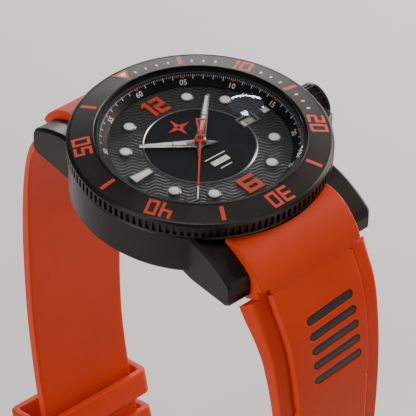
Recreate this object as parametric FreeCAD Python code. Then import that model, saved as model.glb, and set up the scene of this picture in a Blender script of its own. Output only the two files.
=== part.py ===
# Dive watch, millimetres.  Origin: centre of the case back's outer face.
# +Z up through the crystal, +Y towards 12 o'clock, +X towards 3 o'clock.
import FreeCAD, Part
import math
import os

os.makedirs("parts", exist_ok=True)

# driving sizes
bezelR = 22.0
caseR = 21.6
caseBottom = 2.0
caseTop = 10.1
neckR = 18.4
neckTop = 13.2
shoulderTop = 12.5
collarR = 17.46
boreR = 16.3
topBoreR = 17.1
dialTop = 11.0
dialR = 16.2
lugGap = 22.0
lugOuter = 15.25
lugTip = 25.4
barY = 23.2
barZ = 3.6
barR = 0.9
strapEndR = 3.2
strapThick = 2.0
panelRise = 1.1
crownZ = 6.9
crownR = 3.6
crownIn = 22.75
crownOut = 26.3
hourAngle = 303.8
minuteAngle = 45.7
secondAngle = 222.0
trainPitch = 4.25

V = FreeCAD.Vector


def cyl(r, z0, z1, x=0.0, y=0.0):
    return Part.makeCylinder(r, z1 - z0, V(x, y, z0))


def tube(r0, r1, z0, z1, x=0.0, y=0.0):
    return cyl(r1, z0, z1, x, y).cut(cyl(r0, z0 - 1, z1 + 1, x, y))


def box(x0, x1, y0, y1, z0, z1):
    return Part.makeBox(x1 - x0, y1 - y0, z1 - z0, V(x0, y0, z0))


def xcyl(r, x0, x1, y=0.0, z=0.0):
    return Part.makeCylinder(r, x1 - x0, V(x0, y, z), V(1, 0, 0))


def rev(points, x=0.0, y=0.0):
    wire = Part.makePolygon([V(x + r, y, z) for r, z in points + points[:1]])
    return Part.Face(wire).revolve(V(x, y, 0), V(0, 0, 1), 360)


def prism(points, z0, z1):
    wire = Part.makePolygon([V(a, b, z0) for a, b in points + points[:1]])
    return Part.Face(wire).extrude(V(0, 0, z1 - z0))


def fuse(shapes):
    return shapes[0].multiFuse(shapes[1:]).removeSplitter()


def group(shapes):
    return Part.makeCompound(shapes)


def clock(r, deg):
    a = math.radians(deg)
    return (r * math.sin(a), r * math.cos(a))


def turned(shape, deg):
    out = shape.copy()
    out.rotate(V(0, 0, 0), V(0, 0, 1), -deg)
    return out


def moved(shape, x, y, z):
    out = shape.copy()
    out.translate(V(x, y, z))
    return out


def save(name, shape):
    shape.exportStep("parts/" + name + ".step")
    solids = len(shape.Solids)
    print(name, solids, "solids", "ok" if shape.isValid() else "INVALID", round(shape.Volume, 2))


def gearOutline(teeth, module, phase):
    pts = []
    step = 2 * math.pi / teeth
    root = module * (teeth / 2 - 1.25)
    tip = module * (teeth / 2 + 0.9)
    for i in range(teeth):
        a = phase + i * step
        for r, f in ((root, -0.26), (tip, -0.1), (tip, 0.1), (root, 0.26)):
            pts.append((r * math.cos(a + f * step), r * math.sin(a + f * step)))
    return pts


def gear(teeth, module, z0, z1, x, y, phase, spokes=0, hub=0.0):
    blank = moved(prism(gearOutline(teeth, module, phase), z0, z1), x, y, 0)
    if spokes:
        root = module * (teeth / 2 - 1.25)
        inner = hub + 0.25
        outer = root - 0.32
        mid = (inner + outer) / 2
        hole = min((outer - inner) / 2, mid * math.sin(math.pi / spokes) - 0.12)
        cuts = []
        for i in range(spokes):
            a = 2 * math.pi * i / spokes + 0.3
            cuts.append(cyl(hole, z0 - 1, z1 + 1, x + mid * math.cos(a), y + mid * math.sin(a)))
        blank = blank.cut(group(cuts))
    return blank


def arborBetween(z0, z1, x, y, body=0.22, pivot=0.11, length=0.3):
    return fuse([cyl(body, z0 + length, z1 - length, x, y), cyl(pivot, z0, z1, x, y)])


# squared figures made of seven straight strokes on a w x h cell
strokesOf = {
    "0": "abcdef", "1": "bc", "2": "abged", "3": "abgcd", "4": "fgbc",
    "5": "afgcd", "6": "afgedc",
}


def figure(char, w, h, t, z0, z1):
    cells = {
        "a": (0, h - t, w, h), "d": (0, 0, w, t), "g": (0, (h - t) / 2, w, (h + t) / 2),
        "f": (0, h / 2 - t / 2, t, h), "b": (w - t, h / 2 - t / 2, w, h),
        "e": (0, 0, t, h / 2 + t / 2), "c": (w - t, 0, w, h / 2 + t / 2),
    }
    parts = []
    for key in strokesOf[char]:
        x0, y0, x1, y1 = cells[key]
        parts.append(box(x0, x1, y0, y1, z0, z1))
    if char == "1":
        parts.append(prism([(w - t, h), (w - t, h - t * 1.2), (w - 2.1 * t, h - t * 1.2)], z0, z1))
    out = parts[0]
    if len(parts) > 1:
        out = fuse(parts)
    return moved(out, -w / 2, -h / 2, 0)


# ---------------------------------------------------------------- case
lugTop = [(14.0, 9.75), (17.5, 9.5), (20.5, 8.6), (23.0, 7.4), (24.7, 6.3)]


def lugWire(x, inset):
    top = Part.BSplineCurve()
    top.interpolate([V(x, y, z - inset) for y, z in lugTop])
    tip = lugTop[-1]
    rest = [(tip[0], tip[1] - inset), (25.15 - inset * 0.5, 5.7 - inset), (lugTip - inset, 4.9 - inset), (lugTip - inset, 2.6),
            (24.9 - inset, 1.8), (16.0, 1.5), (12.0, 2.2), (lugTop[0][0], lugTop[0][1] - inset)]
    low = Part.makePolygon([V(x, y, z) for y, z in rest])
    return Part.Wire([top.toShape()] + low.Edges)


def lug(side, end):
    # straight flank inside, a bevelled shoulder along the outer top edge
    inner = lugGap / 2
    shoulder = lugOuter - 0.55
    face = Part.Face(lugWire(inner, 0.0))
    solid = face.extrude(V(shoulder - inner, 0, 0))
    bevel = Part.makeLoft([lugWire(shoulder, 0.0), lugWire(lugOuter, 0.5)], True, True)
    solid = fuse([solid, bevel])
    if side < 0:
        solid = solid.mirror(V(0, 0, 0), V(1, 0, 0))
    if end < 0:
        solid = solid.mirror(V(0, 0, 0), V(0, 1, 0))
    return solid


def caseBody():
    body = rev([(0, caseBottom), (20.8, caseBottom), (caseR, caseBottom + 0.9), (caseR, caseTop - 0.5),
                (caseR - 0.4, caseTop), (neckR, caseTop), (neckR, shoulderTop), (collarR, shoulderTop), (collarR, neckTop), (0, neckTop)])
    guardPts = [(17.0, -9.6), (20.4, -8.2), (24.0, -6.1), (24.4, -5.6), (24.4, 5.6), (24.0, 6.1), (20.4, 8.2), (17.0, 9.6)]
    guard = prism(guardPts, 3.6, 9.2)
    rim = [e for e in guard.Edges if abs(e.BoundBox.ZMax - e.BoundBox.ZMin) < 1e-6 and e.BoundBox.XMax > 20.5]
    guard = guard.makeChamfer(0.4, rim)
    solids = [body, guard]
    for side in (1, -1):
        for end in (1, -1):
            solids.append(lug(side, end))
    body = fuse(solids)
    cuts = [cyl(17.0, 0, 4.2), cyl(boreR, 0, 12), cyl(topBoreR, dialTop + 0.02, 20), cyl(18.0, 0, caseBottom)]
    for end in (1, -1):
        cuts.append(xcyl(strapEndR + 0.3, -lugGap / 2, lugGap / 2, end * barY, barZ))
        cuts.append(box(-lugGap / 2, lugGap / 2, min(end * 22.0, end * 30), max(end * 22.0, end * 30), 0, barZ))
        cuts.append(xcyl(0.5, -13.0, 13.0, end * barY, barZ))
    cuts.append(tube(19.0, 20.6, 9.6, 10.6))
    cuts.append(xcyl(1.9, 14, 24, 0, crownZ))
    cuts.append(xcyl(crownR + 0.4, 22.4, 30, 0, crownZ))
    cuts.append(tube(17.8, 19, 10.95, 11.65))
    body = body.cut(cuts[0])
    for c in cuts[1:]:
        body = body.cut(c)
    return body


save("case_body", caseBody())

# case back: ring with a window, wrench notches on its rim
backRing = rev([(13.7, 0), (17.3, 0), (17.8, 0.4), (17.8, 1.98), (16.95, 1.98), (16.95, 3.9), (15.4, 3.9),
                (15.4, 2.6), (12.7, 2.6), (12.7, 2.0), (13.7, 2.0)])
notches = []
for k in range(6):
    notch = box(16.6, 18.2, -1.2, 1.2, -0.5, 0.9)
    notches.append(turned(notch, 60 * k + 30))
save("back_ring", backRing.cut(group(notches)))
save("back_glass", rev([(0, 0), (13.3, 0), (13.65, 0.3), (13.65, 1.98), (0, 1.98)]))
save("crystal", rev([(0, 12.98), (17.05, 12.98), (17.05, 14.1), (16.75, 14.4), (0, 14.4)]))
save("crystal_gasket", tube(16.5, 17.06, 12.71, 12.97))

lensX = 9.95
lensPts = [(0, 14.4), (2.9, 14.4), (2.9, 14.62)]
for k in range(1, 9):
    r = 2.9 * math.cos(math.radians(90 * k / 8))
    lensPts.append((max(r, 0.0), 14.62 + 0.62 * (1 - (max(r, 0.0) / 2.9) ** 2)))
save("cyclops", rev(lensPts, lensX, 0))


# ---------------------------------------------------------------- bezel
def bezelRing():
    ring = rev([(18.45, 10.2), (21.75, 10.2), (bezelR, 10.4), (bezelR, 12.5), (21.7, 12.85), (21.45, 12.95),
                (21.45, 12.3), (17.72, 12.98), (17.72, 13.58), (17.62, 13.7), (17.5, 13.6), (17.5, 12.6), (18.45, 12.6)])
    cuts = []
    for k in range(120):
        slot = box(21.6, 22.5, -0.3, 0.3, 10.62, 12.2)
        cuts.append(turned(slot, 3 * k))
        tooth = prism([(19.2, -0.2), (20.4, -0.2), (20.4, 0.2), (19.2, 0.2)], 9.9, 10.45)
        cuts.append(turned(tooth, 3 * k + 1.5))
    return ring.cut(group(cuts))


save("bezel_ring", bezelRing())

insertPts = [(17.76, 12.99), (21.41, 12.325), (21.41, 12.9), (17.76, 13.57)]
insert = rev(insertPts)
insertSlope = (12.325 - 12.99) / (21.41 - 17.76)
layer = rev([(17.8, 13.16), (21.39, 12.51), (21.39, 12.96), (17.8, 13.61)])
inlayTools = []
for k, word in enumerate(("10", "20", "30", "40", "50")):
    deg = 60 * (k + 1)
    for j, char in enumerate(word):
        fig = figure(char, 1.95, 3.0, 0.5, 12, 14)
        fig = moved(fig, -1.2 + 2.4 * j, 19.58, 0)
        inlayTools.append(turned(fig, deg))
for k in range(6):
    inlayTools.append(turned(box(-0.34, 0.34, 18.2, 20.95, 12, 14), 60 * k + 30))
lumeTools = [prism([(-1.5, 20.95), (1.5, 20.95), (0, 18.2)], 12, 14)]
for k in range(1, 20):
    if k % 5 and k not in (9, 11, 19):
        lumeTools.append(turned(box(-0.16, 0.16, 19.0, 19.62, 12, 14), 6 * k))
pearlHole = cyl(0.5, 12, 14, 0, 19.95)
bodyLayer = rev([(17.76, 12.99), (21.41, 12.325), (21.41, 12.9), (17.76, 13.57)])
inlayShell = rev([(17.8, 13.24), (21.39, 12.58), (21.39, 12.925), (17.8, 13.585)])
inlays = [t.common(inlayShell) for t in inlayTools]
lumes = [t.common(inlayShell) for t in lumeTools]
lumes[0] = lumes[0].cut(cyl(0.53, 12, 14, 0, 19.95))
cutLayer = rev([(17.7, 13.255), (21.5, 12.565), (21.5, 13.2), (17.7, 13.9)])
pockets = [t.common(cutLayer) for t in inlayTools + lumeTools]
insert = insert.cut(group(pockets))
save("bezel_insert", insert)
save("bezel_inlays", group(inlays))
pearl = pearlHole.common(rev([(17.8, 13.24), (21.39, 12.58), (21.39, 13.02), (17.8, 13.68)]))
save("bezel_marks", group(lumes + [pearl]))

click = tube(19.1, 20.5, 9.62, 9.87)
gap = turned(box(-2.2, 2.2, 18, 22, 9, 11), 180)
tab = turned(box(-0.15, 0.15, 19.4, 20.2, 9.8, 10.15), 0)
save("click_spring", fuse([click.cut(gap), tab]))
save("bezel_gasket", rev([(17.82, 11.1), (17.95, 11.0), (18.25, 11.0), (18.42, 11.15), (18.42, 11.45), (18.25, 11.6),
                          (17.95, 11.6), (17.82, 11.5)]))

# ---------------------------------------------------------------- dial side
save("rehaut", rev([(15.2, 11.03), (15.2, 11.3), (16.9, 12.68), (17.07, 12.68), (17.07, 11.03)]))
window = box(8.8, 11.8, -1.0, 1.0, 10, 12)
dial = cyl(dialR, 10.6, dialTop).cut(window).cut(cyl(1.15, 10, 12))
save("dial", dial)
disc = rev([(1.15, 11.0), (9.2, 11.0), (9.2, 11.06), (9.12, 11.12), (1.15, 11.12)])
frameHole = box(8.5, 12.1, -1.3, 1.3, 10, 12)
save("dial_disc", disc.cut(frameHole))
trimRing = rev([(9.22, 11.0), (9.5, 11.0), (9.5, 11.08), (9.36, 11.2), (9.22, 11.08)]).cut(frameHole)
frameOuter = box(8.52, 12.08, -1.28, 1.28, 11.0, 11.2)
save("dial_trim", group([trimRing, frameOuter.cut(window)]))

rims = []
pellets = []
for hour in (1, 2, 4, 5, 7, 8, 10, 11):
    cx, cy = clock(12.4, 30 * hour)
    rims.append(rev([(0.9, 11.0), (1.12, 11.0), (1.12, 11.24), (1.04, 11.32), (0.9, 11.32)], cx, cy))
    pellets.append(rev([(0, 11.0), (0.89, 11.0), (0.89, 11.28), (0.6, 11.34), (0, 11.36)], cx, cy))


def frameOf(outer, inner, z0, z1):
    return prism(outer, z0, z1).cut(prism(inner, z0 - 1, z1 + 1))


baton = [(-14.4, -1.03), (-10.3, -0.69), (-10.3, 0.69), (-14.4, 1.03)]
batonIn = [(-14.18, -0.8), (-10.52, -0.5), (-10.52, 0.5), (-14.18, 0.8)]
rims.append(frameOf(baton, batonIn, 11.0, 11.32))
pellets.append(prism([(-14.16, -0.78), (-10.54, -0.48), (-10.54, 0.48), (-14.16, 0.78)], 11.0, 11.3))
square = [(13.35, -0.75), (14.85, -0.75), (14.85, 0.75), (13.35, 0.75)]
squareIn = [(13.53, -0.57), (14.67, -0.57), (14.67, 0.57), (13.53, 0.57)]
rims.append(frameOf(square, squareIn, 11.0, 11.32))
pellets.append(box(13.55, 14.65, -0.55, 0.55, 11.0, 11.3))
save("marker_rims", group(rims))
save("marker_lume", group(pellets))

one = moved(figure("1", 2.1, 3.85, 0.72, 11.0, 11.28), -1.35, 12.0, 0)
two = moved(figure("2", 2.2, 3.85, 0.72, 11.0, 11.28), 1.25, 12.0, 0)
six = moved(figure("6", 3.3, 3.8, 0.8, 11.0, 11.28), 0, -12.5, 0)
save("numerals", group([one, two, six]))

starPts = []
for k in range(8):
    r = 2.3 if k % 2 == 0 else 0.62
    sx, sy = clock(r, 45 * k)
    starPts.append((sx, 5.5 + sy))
save("dial_star", prism(starPts, 11.12, 11.24).cut(cyl(0.3, 11, 12, 0, 5.5)))


# ---------------------------------------------------------------- hands
def hand(tip, tail, wide, tipWide, base, thick, hubR, boreHole, slotPairs):
    # a ridged lance: flanks fall from the centre line, widest at the hub, blunt tip
    outline = [V(tipWide, tip, base), V(wide, 0, base), V(0, -tail, base), V(-wide, 0, base), V(-tipWide, tip, base)]
    top = base + thick
    edge = [V(p.x, p.y, base + thick * 0.35) for p in outline]
    ridge = [V(0, tip, top), V(0, -tail + 0.2, top)]
    faces = [Part.Face(Part.makePolygon(outline + outline[:1]))]
    for i in range(4):
        j = i + 1
        faces.append(Part.Face(Part.makePolygon([outline[i], outline[j], edge[j], edge[i], outline[i]])))
    faces.append(Part.Face(Part.makePolygon([outline[4], outline[0], edge[0], ridge[0], edge[4], outline[4]])))

    def tri(a, b, c):
        faces.append(Part.Face(Part.makePolygon([a, b, c, a])))

    tri(edge[0], edge[1], ridge[0])
    tri(edge[1], ridge[1], ridge[0])
    tri(edge[1], edge[2], ridge[1])
    tri(edge[2], edge[3], ridge[1])
    tri(edge[3], ridge[0], ridge[1])
    tri(edge[3], edge[4], ridge[0])
    blade = Part.Solid(Part.Shell(faces))
    hub = cyl(hubR, base, top + 0.02)
    blade = fuse([blade, hub]).cut(cyl(boreHole, base - 1, top + 1))
    lume = []
    for pts in slotPairs:
        blade = blade.cut(prism(pts, base - 1, top + 1))
        cx = sum(p[0] for p in pts) / len(pts)
        cy = sum(p[1] for p in pts) / len(pts)
        inset = [(cx + (p[0] - cx) * 0.93, cy + (p[1] - cy) * 0.985) for p in pts]
        lume.append(prism(inset, base + 0.02, top - 0.02))
    return blade, group(lume)


hourSlots = [[(-0.42, 2.3), (0.42, 2.3), (0.37, 4.4), (-0.37, 4.4)],
             [(-0.36, 4.65), (0.36, 4.65), (0.22, 9.2), (-0.22, 9.2)]]
hourHand, hourLume = hand(10.0, 3.1, 0.98, 0.38, 11.45, 0.24, 1.05, 0.82, hourSlots)
save("hour_hand", turned(hourHand, hourAngle))
save("hour_hand_lume", turned(hourLume, hourAngle))
minuteSlots = [[(-0.38, 2.3), (0.38, 2.3), (0.34, 6.4), (-0.34, 6.4)],
               [(-0.34, 6.65), (0.34, 6.65), (0.25, 11.6), (-0.25, 11.6)]]
minuteHand, minuteLume = hand(12.2, 3.9, 0.85, 0.45, 11.95, 0.22, 0.95, 0.42, minuteSlots)
save("minute_hand", turned(minuteHand, minuteAngle))
save("minute_hand_lume", turned(minuteLume, minuteAngle))

needle = prism([(-0.2, 0), (0.2, 0), (0.09, 15.0), (-0.09, 15.0)], 12.42, 12.54)
counterPts = [(-0.42, -1.7), (0.42, -1.7), (0.98, -5.1), (-0.98, -5.1)]
counterIn = [(-0.18, -2.2), (0.18, -2.2), (0.62, -4.75), (-0.62, -4.75)]
counter = frameOf(counterPts, counterIn, 12.42, 12.54)
stalk = prism([(-0.24, 0), (0.24, 0), (0.24, -2.0), (-0.24, -2.0)], 12.42, 12.54)
hubCap = rev([(0, 12.3), (0.95, 12.3), (0.95, 12.6), (0.7, 12.74), (0, 12.78)])
secondHand = fuse([needle, counter, stalk, hubCap]).cut(cyl(0.16, 12.0, 12.7))
save("second_hand", turned(secondHand, secondAngle))

# ---------------------------------------------------------------- movement
plateZ0 = 9.0
plateZ1 = 10.0
thirdDeg = 187.0
thirdAt = (trainPitch * math.cos(math.radians(thirdDeg)), trainPitch * math.sin(math.radians(thirdDeg)))
barrelAt = (5.94 * math.cos(math.radians(60)), 5.94 * math.sin(math.radians(60)))
escapeAt = (3.87 * math.cos(math.radians(250)), 3.87 * math.sin(math.radians(250)))
balanceAt = (2.0, -7.9)
toBalance = math.hypot(balanceAt[0] - escapeAt[0], balanceAt[1] - escapeAt[1])
ux = (balanceAt[0] - escapeAt[0]) / toBalance
uy = (balanceAt[1] - escapeAt[1]) / toBalance
palletAt = (escapeAt[0] + 2.9 * ux, escapeAt[1] + 2.9 * uy)
minuteWheelAt = clock(2.6, 118)

pivots = {"barrel": barrelAt, "third": thirdAt, "escape": escapeAt, "pallet": palletAt, "balance": balanceAt}

plate = cyl(12.8, plateZ0, plateZ1)
pillars = [prism([(7.4, -1.95), (12.0, -1.95), (12.0, 1.95), (7.4, 1.95)], 6.1, plateZ0)]
for x, y in ((-10.6, 4.4), (-4.2, 10.6), (9.9, 6.4), (7.9, -8.8), (-8.6, -7.2), (-11.2, -1.6)):
    pillars.append(cyl(1.25, 6.86, plateZ0, x, y))
pillars = [p.common(cyl(12.6, 5, 11)) for p in pillars]
plate = fuse([plate] + pillars)
plateCuts = [cyl(0.75, 8, 11), xcyl(0.65, 6.9, 14, 0, crownZ), box(8.3, 10.3, -1.6, 1.6, 5, 8.6),
             cyl(0.31, 8, 11, minuteWheelAt[0], minuteWheelAt[1])]
for name in pivots:
    px, py = pivots[name]
    plateCuts.append(cyl(0.32, 8, 11, px, py))
plate = plate.cut(group(plateCuts[:1])).cut(group(plateCuts[1:2])).cut(group(plateCuts[2:3])).cut(group(plateCuts[3:]))
save("main_plate", plate)


def bridge(points, z0, z1, holes):
    out = prism(points, z0, z1).common(cyl(12.3, z0 - 1, z1 + 1))
    upper = [e for e in out.Edges if e.BoundBox.ZMax < z0 + 1e-3]
    out = out.makeChamfer(0.12, upper)
    for x, y, r in holes:
        out = out.cut(cyl(r, z0 - 1, z1 + 1, x, y))
    return out


screwAt = [(-10.6, 4.4), (-4.2, 10.6), (9.9, 6.4), (7.9, -8.8), (-8.6, -7.2), (-11.2, -1.6)]
barrelBridge = bridge([(-6.9, 13), (-4.4, 3.3), (-0.4, 1.6), (3.6, 0.9), (6.4, 2.9), (13, 3.0), (13, 13)], 6.1, 6.86,
                      [(barrelAt[0], barrelAt[1], 0.62), (-4.2, 10.6, 0.42), (9.9, 6.4, 0.42)])
save("barrel_bridge", barrelBridge)
trainBridge = bridge([(-13, 6.4), (-5.9, 6.4), (-4.9, 2.9), (-0.9, 1.2), (2.4, 0.2), (2.2, -1.9), (-0.3, -5.3), (-3.6, -6.4), (-6.2, -13), (-13, -13)],
                     6.1, 6.86, [(0, 0, 0.32), (thirdAt[0], thirdAt[1], 0.32), (escapeAt[0], escapeAt[1], 0.32),
                                 (-10.6, 4.4, 0.42), (-8.6, -7.2, 0.42), (-11.2, -1.6, 0.42)])
save("train_bridge", trainBridge)
cockPts = [(9.9, -10.2), (8.3, -6.4), (3.2, -6.6), (1.2, -6.6), (0.6, -8.2), (1.6, -9.4), (4.0, -9.4), (6.0, -11.6)]
cock = bridge(cockPts, 5.95, 6.5, [(2.0, -7.9, 0.32), (7.9, -8.8, 0.42)])
cockFoot = tube(0.42, 1.25, 6.5, 6.86, 7.9, -8.8).common(cyl(12.3, 6, 7))
save("balance_cock", fuse([cock, cockFoot]))

screws = []
for x, y in screwAt:
    head = cyl(0.72, 5.72, 6.08, x, y)
    if (x, y) == (7.9, -8.8):
        head = cyl(0.72, 5.57, 5.93, x, y)
    slot = box(x - 1, x + 1, y - 0.1, y + 0.1, head.BoundBox.ZMin - 0.1, head.BoundBox.ZMin + 0.16)
    shank = cyl(0.38, head.BoundBox.ZMax - 0.01, 6.84, x, y)
    screws.append(fuse([head.cut(slot), shank]))
save("bridge_screws", group(screws))

jewels = []
for x, y, r in ((0, 0, 0.12), (thirdAt[0], thirdAt[1], 0.13), (escapeAt[0], escapeAt[1], 0.13)):
    jewels.append(tube(r + 0.02, 0.31, 6.3, 6.7, x, y))
jewels.append(tube(0.15, 0.31, 6.05, 6.4, balanceAt[0], balanceAt[1]))
for name in ("third", "escape", "pallet", "balance"):
    x, y = pivots[name]
    jewels.append(tube(0.15, 0.31, 9.1, 9.5, x, y))
save("jewels", group(jewels))

barrelTeeth = gear(96, 0.11, 8.3, 8.55, barrelAt[0], barrelAt[1], math.radians(240))
drum = fuse([barrelTeeth, cyl(4.9, 7.35, 8.4, barrelAt[0], barrelAt[1])])
drum = drum.cut(tube(0.95, 4.6, 7.5, 8.2, barrelAt[0], barrelAt[1]))
arbor = fuse([cyl(0.58, 6.2, 7.4, barrelAt[0], barrelAt[1]), cyl(0.28, 8.5, 9.8, barrelAt[0], barrelAt[1])])
save("barrel", fuse([drum, arbor]))

centre = gear(80, 2 * trainPitch / 90, 8.7, 8.85, 0, 0, math.radians(thirdDeg), 5, 1.0)
centrePinion = gear(12, 0.11, 8.22, 8.7, 0, 0, math.radians(60 + 15))
cannon = fuse([cyl(0.7, 8.84, 10.02), cyl(0.4, 10.0, 12.14)])
centreWheel = fuse([centre, centrePinion, cyl(0.7, 8.69, 8.86), cannon]).cut(cyl(0.24, 8, 13))
save("centre_wheel", centreWheel)
# the cannon pinion rides on the centre tube and turns the dial work
workDir = math.atan2(minuteWheelAt[1], minuteWheelAt[0])
workPitch = math.hypot(minuteWheelAt[0], minuteWheelAt[1])
cannonMod = 2 * workPitch / (12 + 36)
hourMod = 2 * workPitch / (10 + 40)
cannonGear = gear(12, cannonMod, 10.06, 10.24, 0, 0, workDir)
save("cannon_pinion", cannonGear.cut(cyl(0.402, 10, 11)))
minuteWheel = gear(36, cannonMod, 10.06, 10.2, minuteWheelAt[0], minuteWheelAt[1], workDir + math.pi + math.pi / 36, 4, 0.5)
minutePinion = gear(10, hourMod, 10.19, 10.46, minuteWheelAt[0], minuteWheelAt[1], workDir + math.pi)
post = cyl(0.26, 9.1, 10.1, minuteWheelAt[0], minuteWheelAt[1])
save("minute_wheel", fuse([minuteWheel, minutePinion, post]))
hourTeeth = gear(40, hourMod, 10.3, 10.46, 0, 0, workDir + math.pi / 40)
hourWheel = fuse([hourTeeth, cyl(0.8, 10.3, 11.66)]).cut(cyl(0.46, 10, 12))
save("hour_wheel", hourWheel)

thirdPinion = gear(10, 2 * trainPitch / 90, 8.62, 8.93, thirdAt[0], thirdAt[1], math.radians(thirdDeg - 180) + math.pi / 10)
thirdWheel = gear(75, 0.1, 7.9, 8.05, thirdAt[0], thirdAt[1], math.radians(thirdDeg - 180), 5, 0.5)
save("third_wheel", fuse([thirdPinion, thirdWheel, cyl(0.4, 7.85, 8.1, thirdAt[0], thirdAt[1]),
                          arborBetween(6.35, 9.4, thirdAt[0], thirdAt[1], 0.25)]))
fourthPinion = gear(10, 0.1, 7.85, 8.12, 0, 0, math.radians(thirdDeg) + math.pi / 10)
fourthWheel = gear(84, 2 * 3.87 / 91, 7.0, 7.14, 0, 0, math.radians(250), 5, 0.5)
fourthArbor = fuse([cyl(0.2, 6.95, 12.66), cyl(0.11, 6.35, 7.0), cyl(0.13, 12.6, 12.69)])
fourthAll = fuse([fourthPinion, fourthWheel, cyl(0.45, 6.96, 7.18), fourthArbor])
save("fourth_wheel", fourthAll.cut(tube(0.15, 0.5, 12.2, 13)))

escPinion = gear(7, 2 * 3.87 / 91, 6.94, 7.22, escapeAt[0], escapeAt[1], math.radians(70) + math.pi / 7)
escPts = []
for k in range(20):
    a = 2 * math.pi * k / 20
    for r, da in ((1.55, 0.0), (2.05, 0.09), (2.12, 0.13), (1.62, 0.2)):
        escPts.append((escapeAt[0] + r * math.cos(a + da), escapeAt[1] + r * math.sin(a + da)))
escWheel = prism(escPts, 7.5, 7.64)
for k in range(4):
    a = math.pi / 2 * k + 0.4
    escWheel = escWheel.cut(cyl(0.46, 7, 8, escapeAt[0] + 0.86 * math.cos(a), escapeAt[1] + 0.86 * math.sin(a)))
save("escape_wheel", fuse([escPinion, escWheel, arborBetween(6.35, 9.4, escapeAt[0], escapeAt[1], 0.2)]))

perp = (-uy, ux)


def palletPoint(along, across):
    return (palletAt[0] + ux * along + perp[0] * across, palletAt[1] + uy * along + perp[1] * across)


forkPts = [palletPoint(*p) for p in ((1.75, 0.28), (1.75, 0.1), (1.3, 0.1), (1.3, -0.1), (1.75, -0.1), (1.75, -0.28),
                                     (1.2, -0.22), (0.3, -0.18), (-0.45, -1.5), (-0.7, -1.5), (-0.35, 0), (-0.7, 1.5),
                                     (-0.45, 1.5), (0.3, 0.18), (1.2, 0.22))]
fork = prism(forkPts, 7.5, 7.64)
save("pallet_fork", fuse([fork, arborBetween(7.2, 9.4, palletAt[0], palletAt[1], 0.2)]))

rim = tube(3.75, 4.2, 6.95, 7.2, balanceAt[0], balanceAt[1])
arms = []
for k in range(3):
    arm = box(0, 3.9, -0.22, 0.22, 7.0, 7.15)
    arm.rotate(V(0, 0, 0), V(0, 0, 1), 120 * k + 20)
    arms.append(moved(arm, balanceAt[0], balanceAt[1], 0))
roller = cyl(0.5, 7.75, 7.95, balanceAt[0], balanceAt[1])
staff = arborBetween(6.1, 9.4, balanceAt[0], balanceAt[1], 0.25)
save("balance_wheel", fuse([rim] + arms + [roller, staff, cyl(0.6, 6.98, 7.18, balanceAt[0], balanceAt[1])]))
coils = []
turns = 6
segments = 24
spiral = []
for i in range(turns * segments + 1):
    a = 2 * math.pi * i / segments
    r = 0.62 + 1.75 * i / (turns * segments)
    spiral.append((balanceAt[0] + r * math.cos(a), balanceAt[1] + r * math.sin(a)))
outerSide = []
innerSide = []
for i, (x, y) in enumerate(spiral):
    d = math.hypot(x - balanceAt[0], y - balanceAt[1])
    nx = (x - balanceAt[0]) / d
    ny = (y - balanceAt[1]) / d
    outerSide.append((x + nx * 0.04, y + ny * 0.04))
    innerSide.append((x - nx * 0.04, y - ny * 0.04))
save("hairspring", prism(outerSide + innerSide[::-1], 6.62, 6.8))

rotorPts = []
for k in range(0, 37):
    a = math.radians(180 * k / 36)
    rotorPts.append((12.4 * math.cos(a), 12.4 * math.sin(a)))
rotorPts += [(-2.4, -1.2), (0, -2.4), (2.4, -1.2)]
rotorPlate = prism(rotorPts, 4.9, 5.25)
for deg in (45, 90, 135):
    c = (6.6 * math.cos(math.radians(deg)), 6.6 * math.sin(math.radians(deg)))
    rotorPlate = rotorPlate.cut(cyl(1.9, 4, 6, c[0], c[1]))
weight = tube(10.4, 12.4, 4.5, 5.45).common(box(-13, 13, 0, 13, 4, 6))
rotor = fuse([rotorPlate, weight, cyl(2.0, 4.9, 5.25)]).cut(cyl(0.46, 4, 6))
save("rotor", turned(rotor, 150))
save("rotor_post", fuse([cyl(0.42, 4.7, 6.05), cyl(0.8, 5.3, 6.09), cyl(0.72, 4.62, 4.86)]))

dateRing = tube(8.65, 12.35, 10.14, 10.4)
dateTeeth = []
for k in range(31):
    a = 360.0 * k / 31
    dateTeeth.append(turned(prism([(-0.28, 8.75), (0.28, 8.75), (0, 8.25)], 10.14, 10.4), a))
save("date_wheel", fuse([dateRing] + dateTeeth))

casing = rev([(12.85, 6.0), (15.9, 6.0), (15.9, 10.56), (12.85, 10.56)])
casing = casing.cut(xcyl(0.75, 10, 18, 0, crownZ)).cut(tube(11, 13.4, 10.05, 11))
save("casing_ring", casing)

# ---------------------------------------------------------------- stem and crown
square = 0.42
stem = fuse([xcyl(0.6, 10.8, 23.4, 0, crownZ), box(7.6, 10.9, -square, square, crownZ - square, crownZ + square),
             xcyl(0.5, 23.3, 24.6, 0, crownZ)])
save("stem", stem)
clutch = xcyl(1.25, 8.5, 10.1, 0, crownZ)
for k in range(10):
    tooth = box(8.4, 9.0, 0.95, 1.4, -0.16, 0.16)
    tooth.rotate(V(0, 0, 0), V(1, 0, 0), 36 * k)
    clutch = clutch.cut(moved(tooth, 0, 0, crownZ))
bore = box(8, 11, -square - 0.03, square + 0.03, crownZ - square - 0.03, crownZ + square + 0.03)
save("clutch", clutch.cut(bore))
save("crown_tube", xcyl(1.88, 17.2, 24.4, 0, crownZ).cut(xcyl(1.3, 10, 30, 0, crownZ)))


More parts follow.
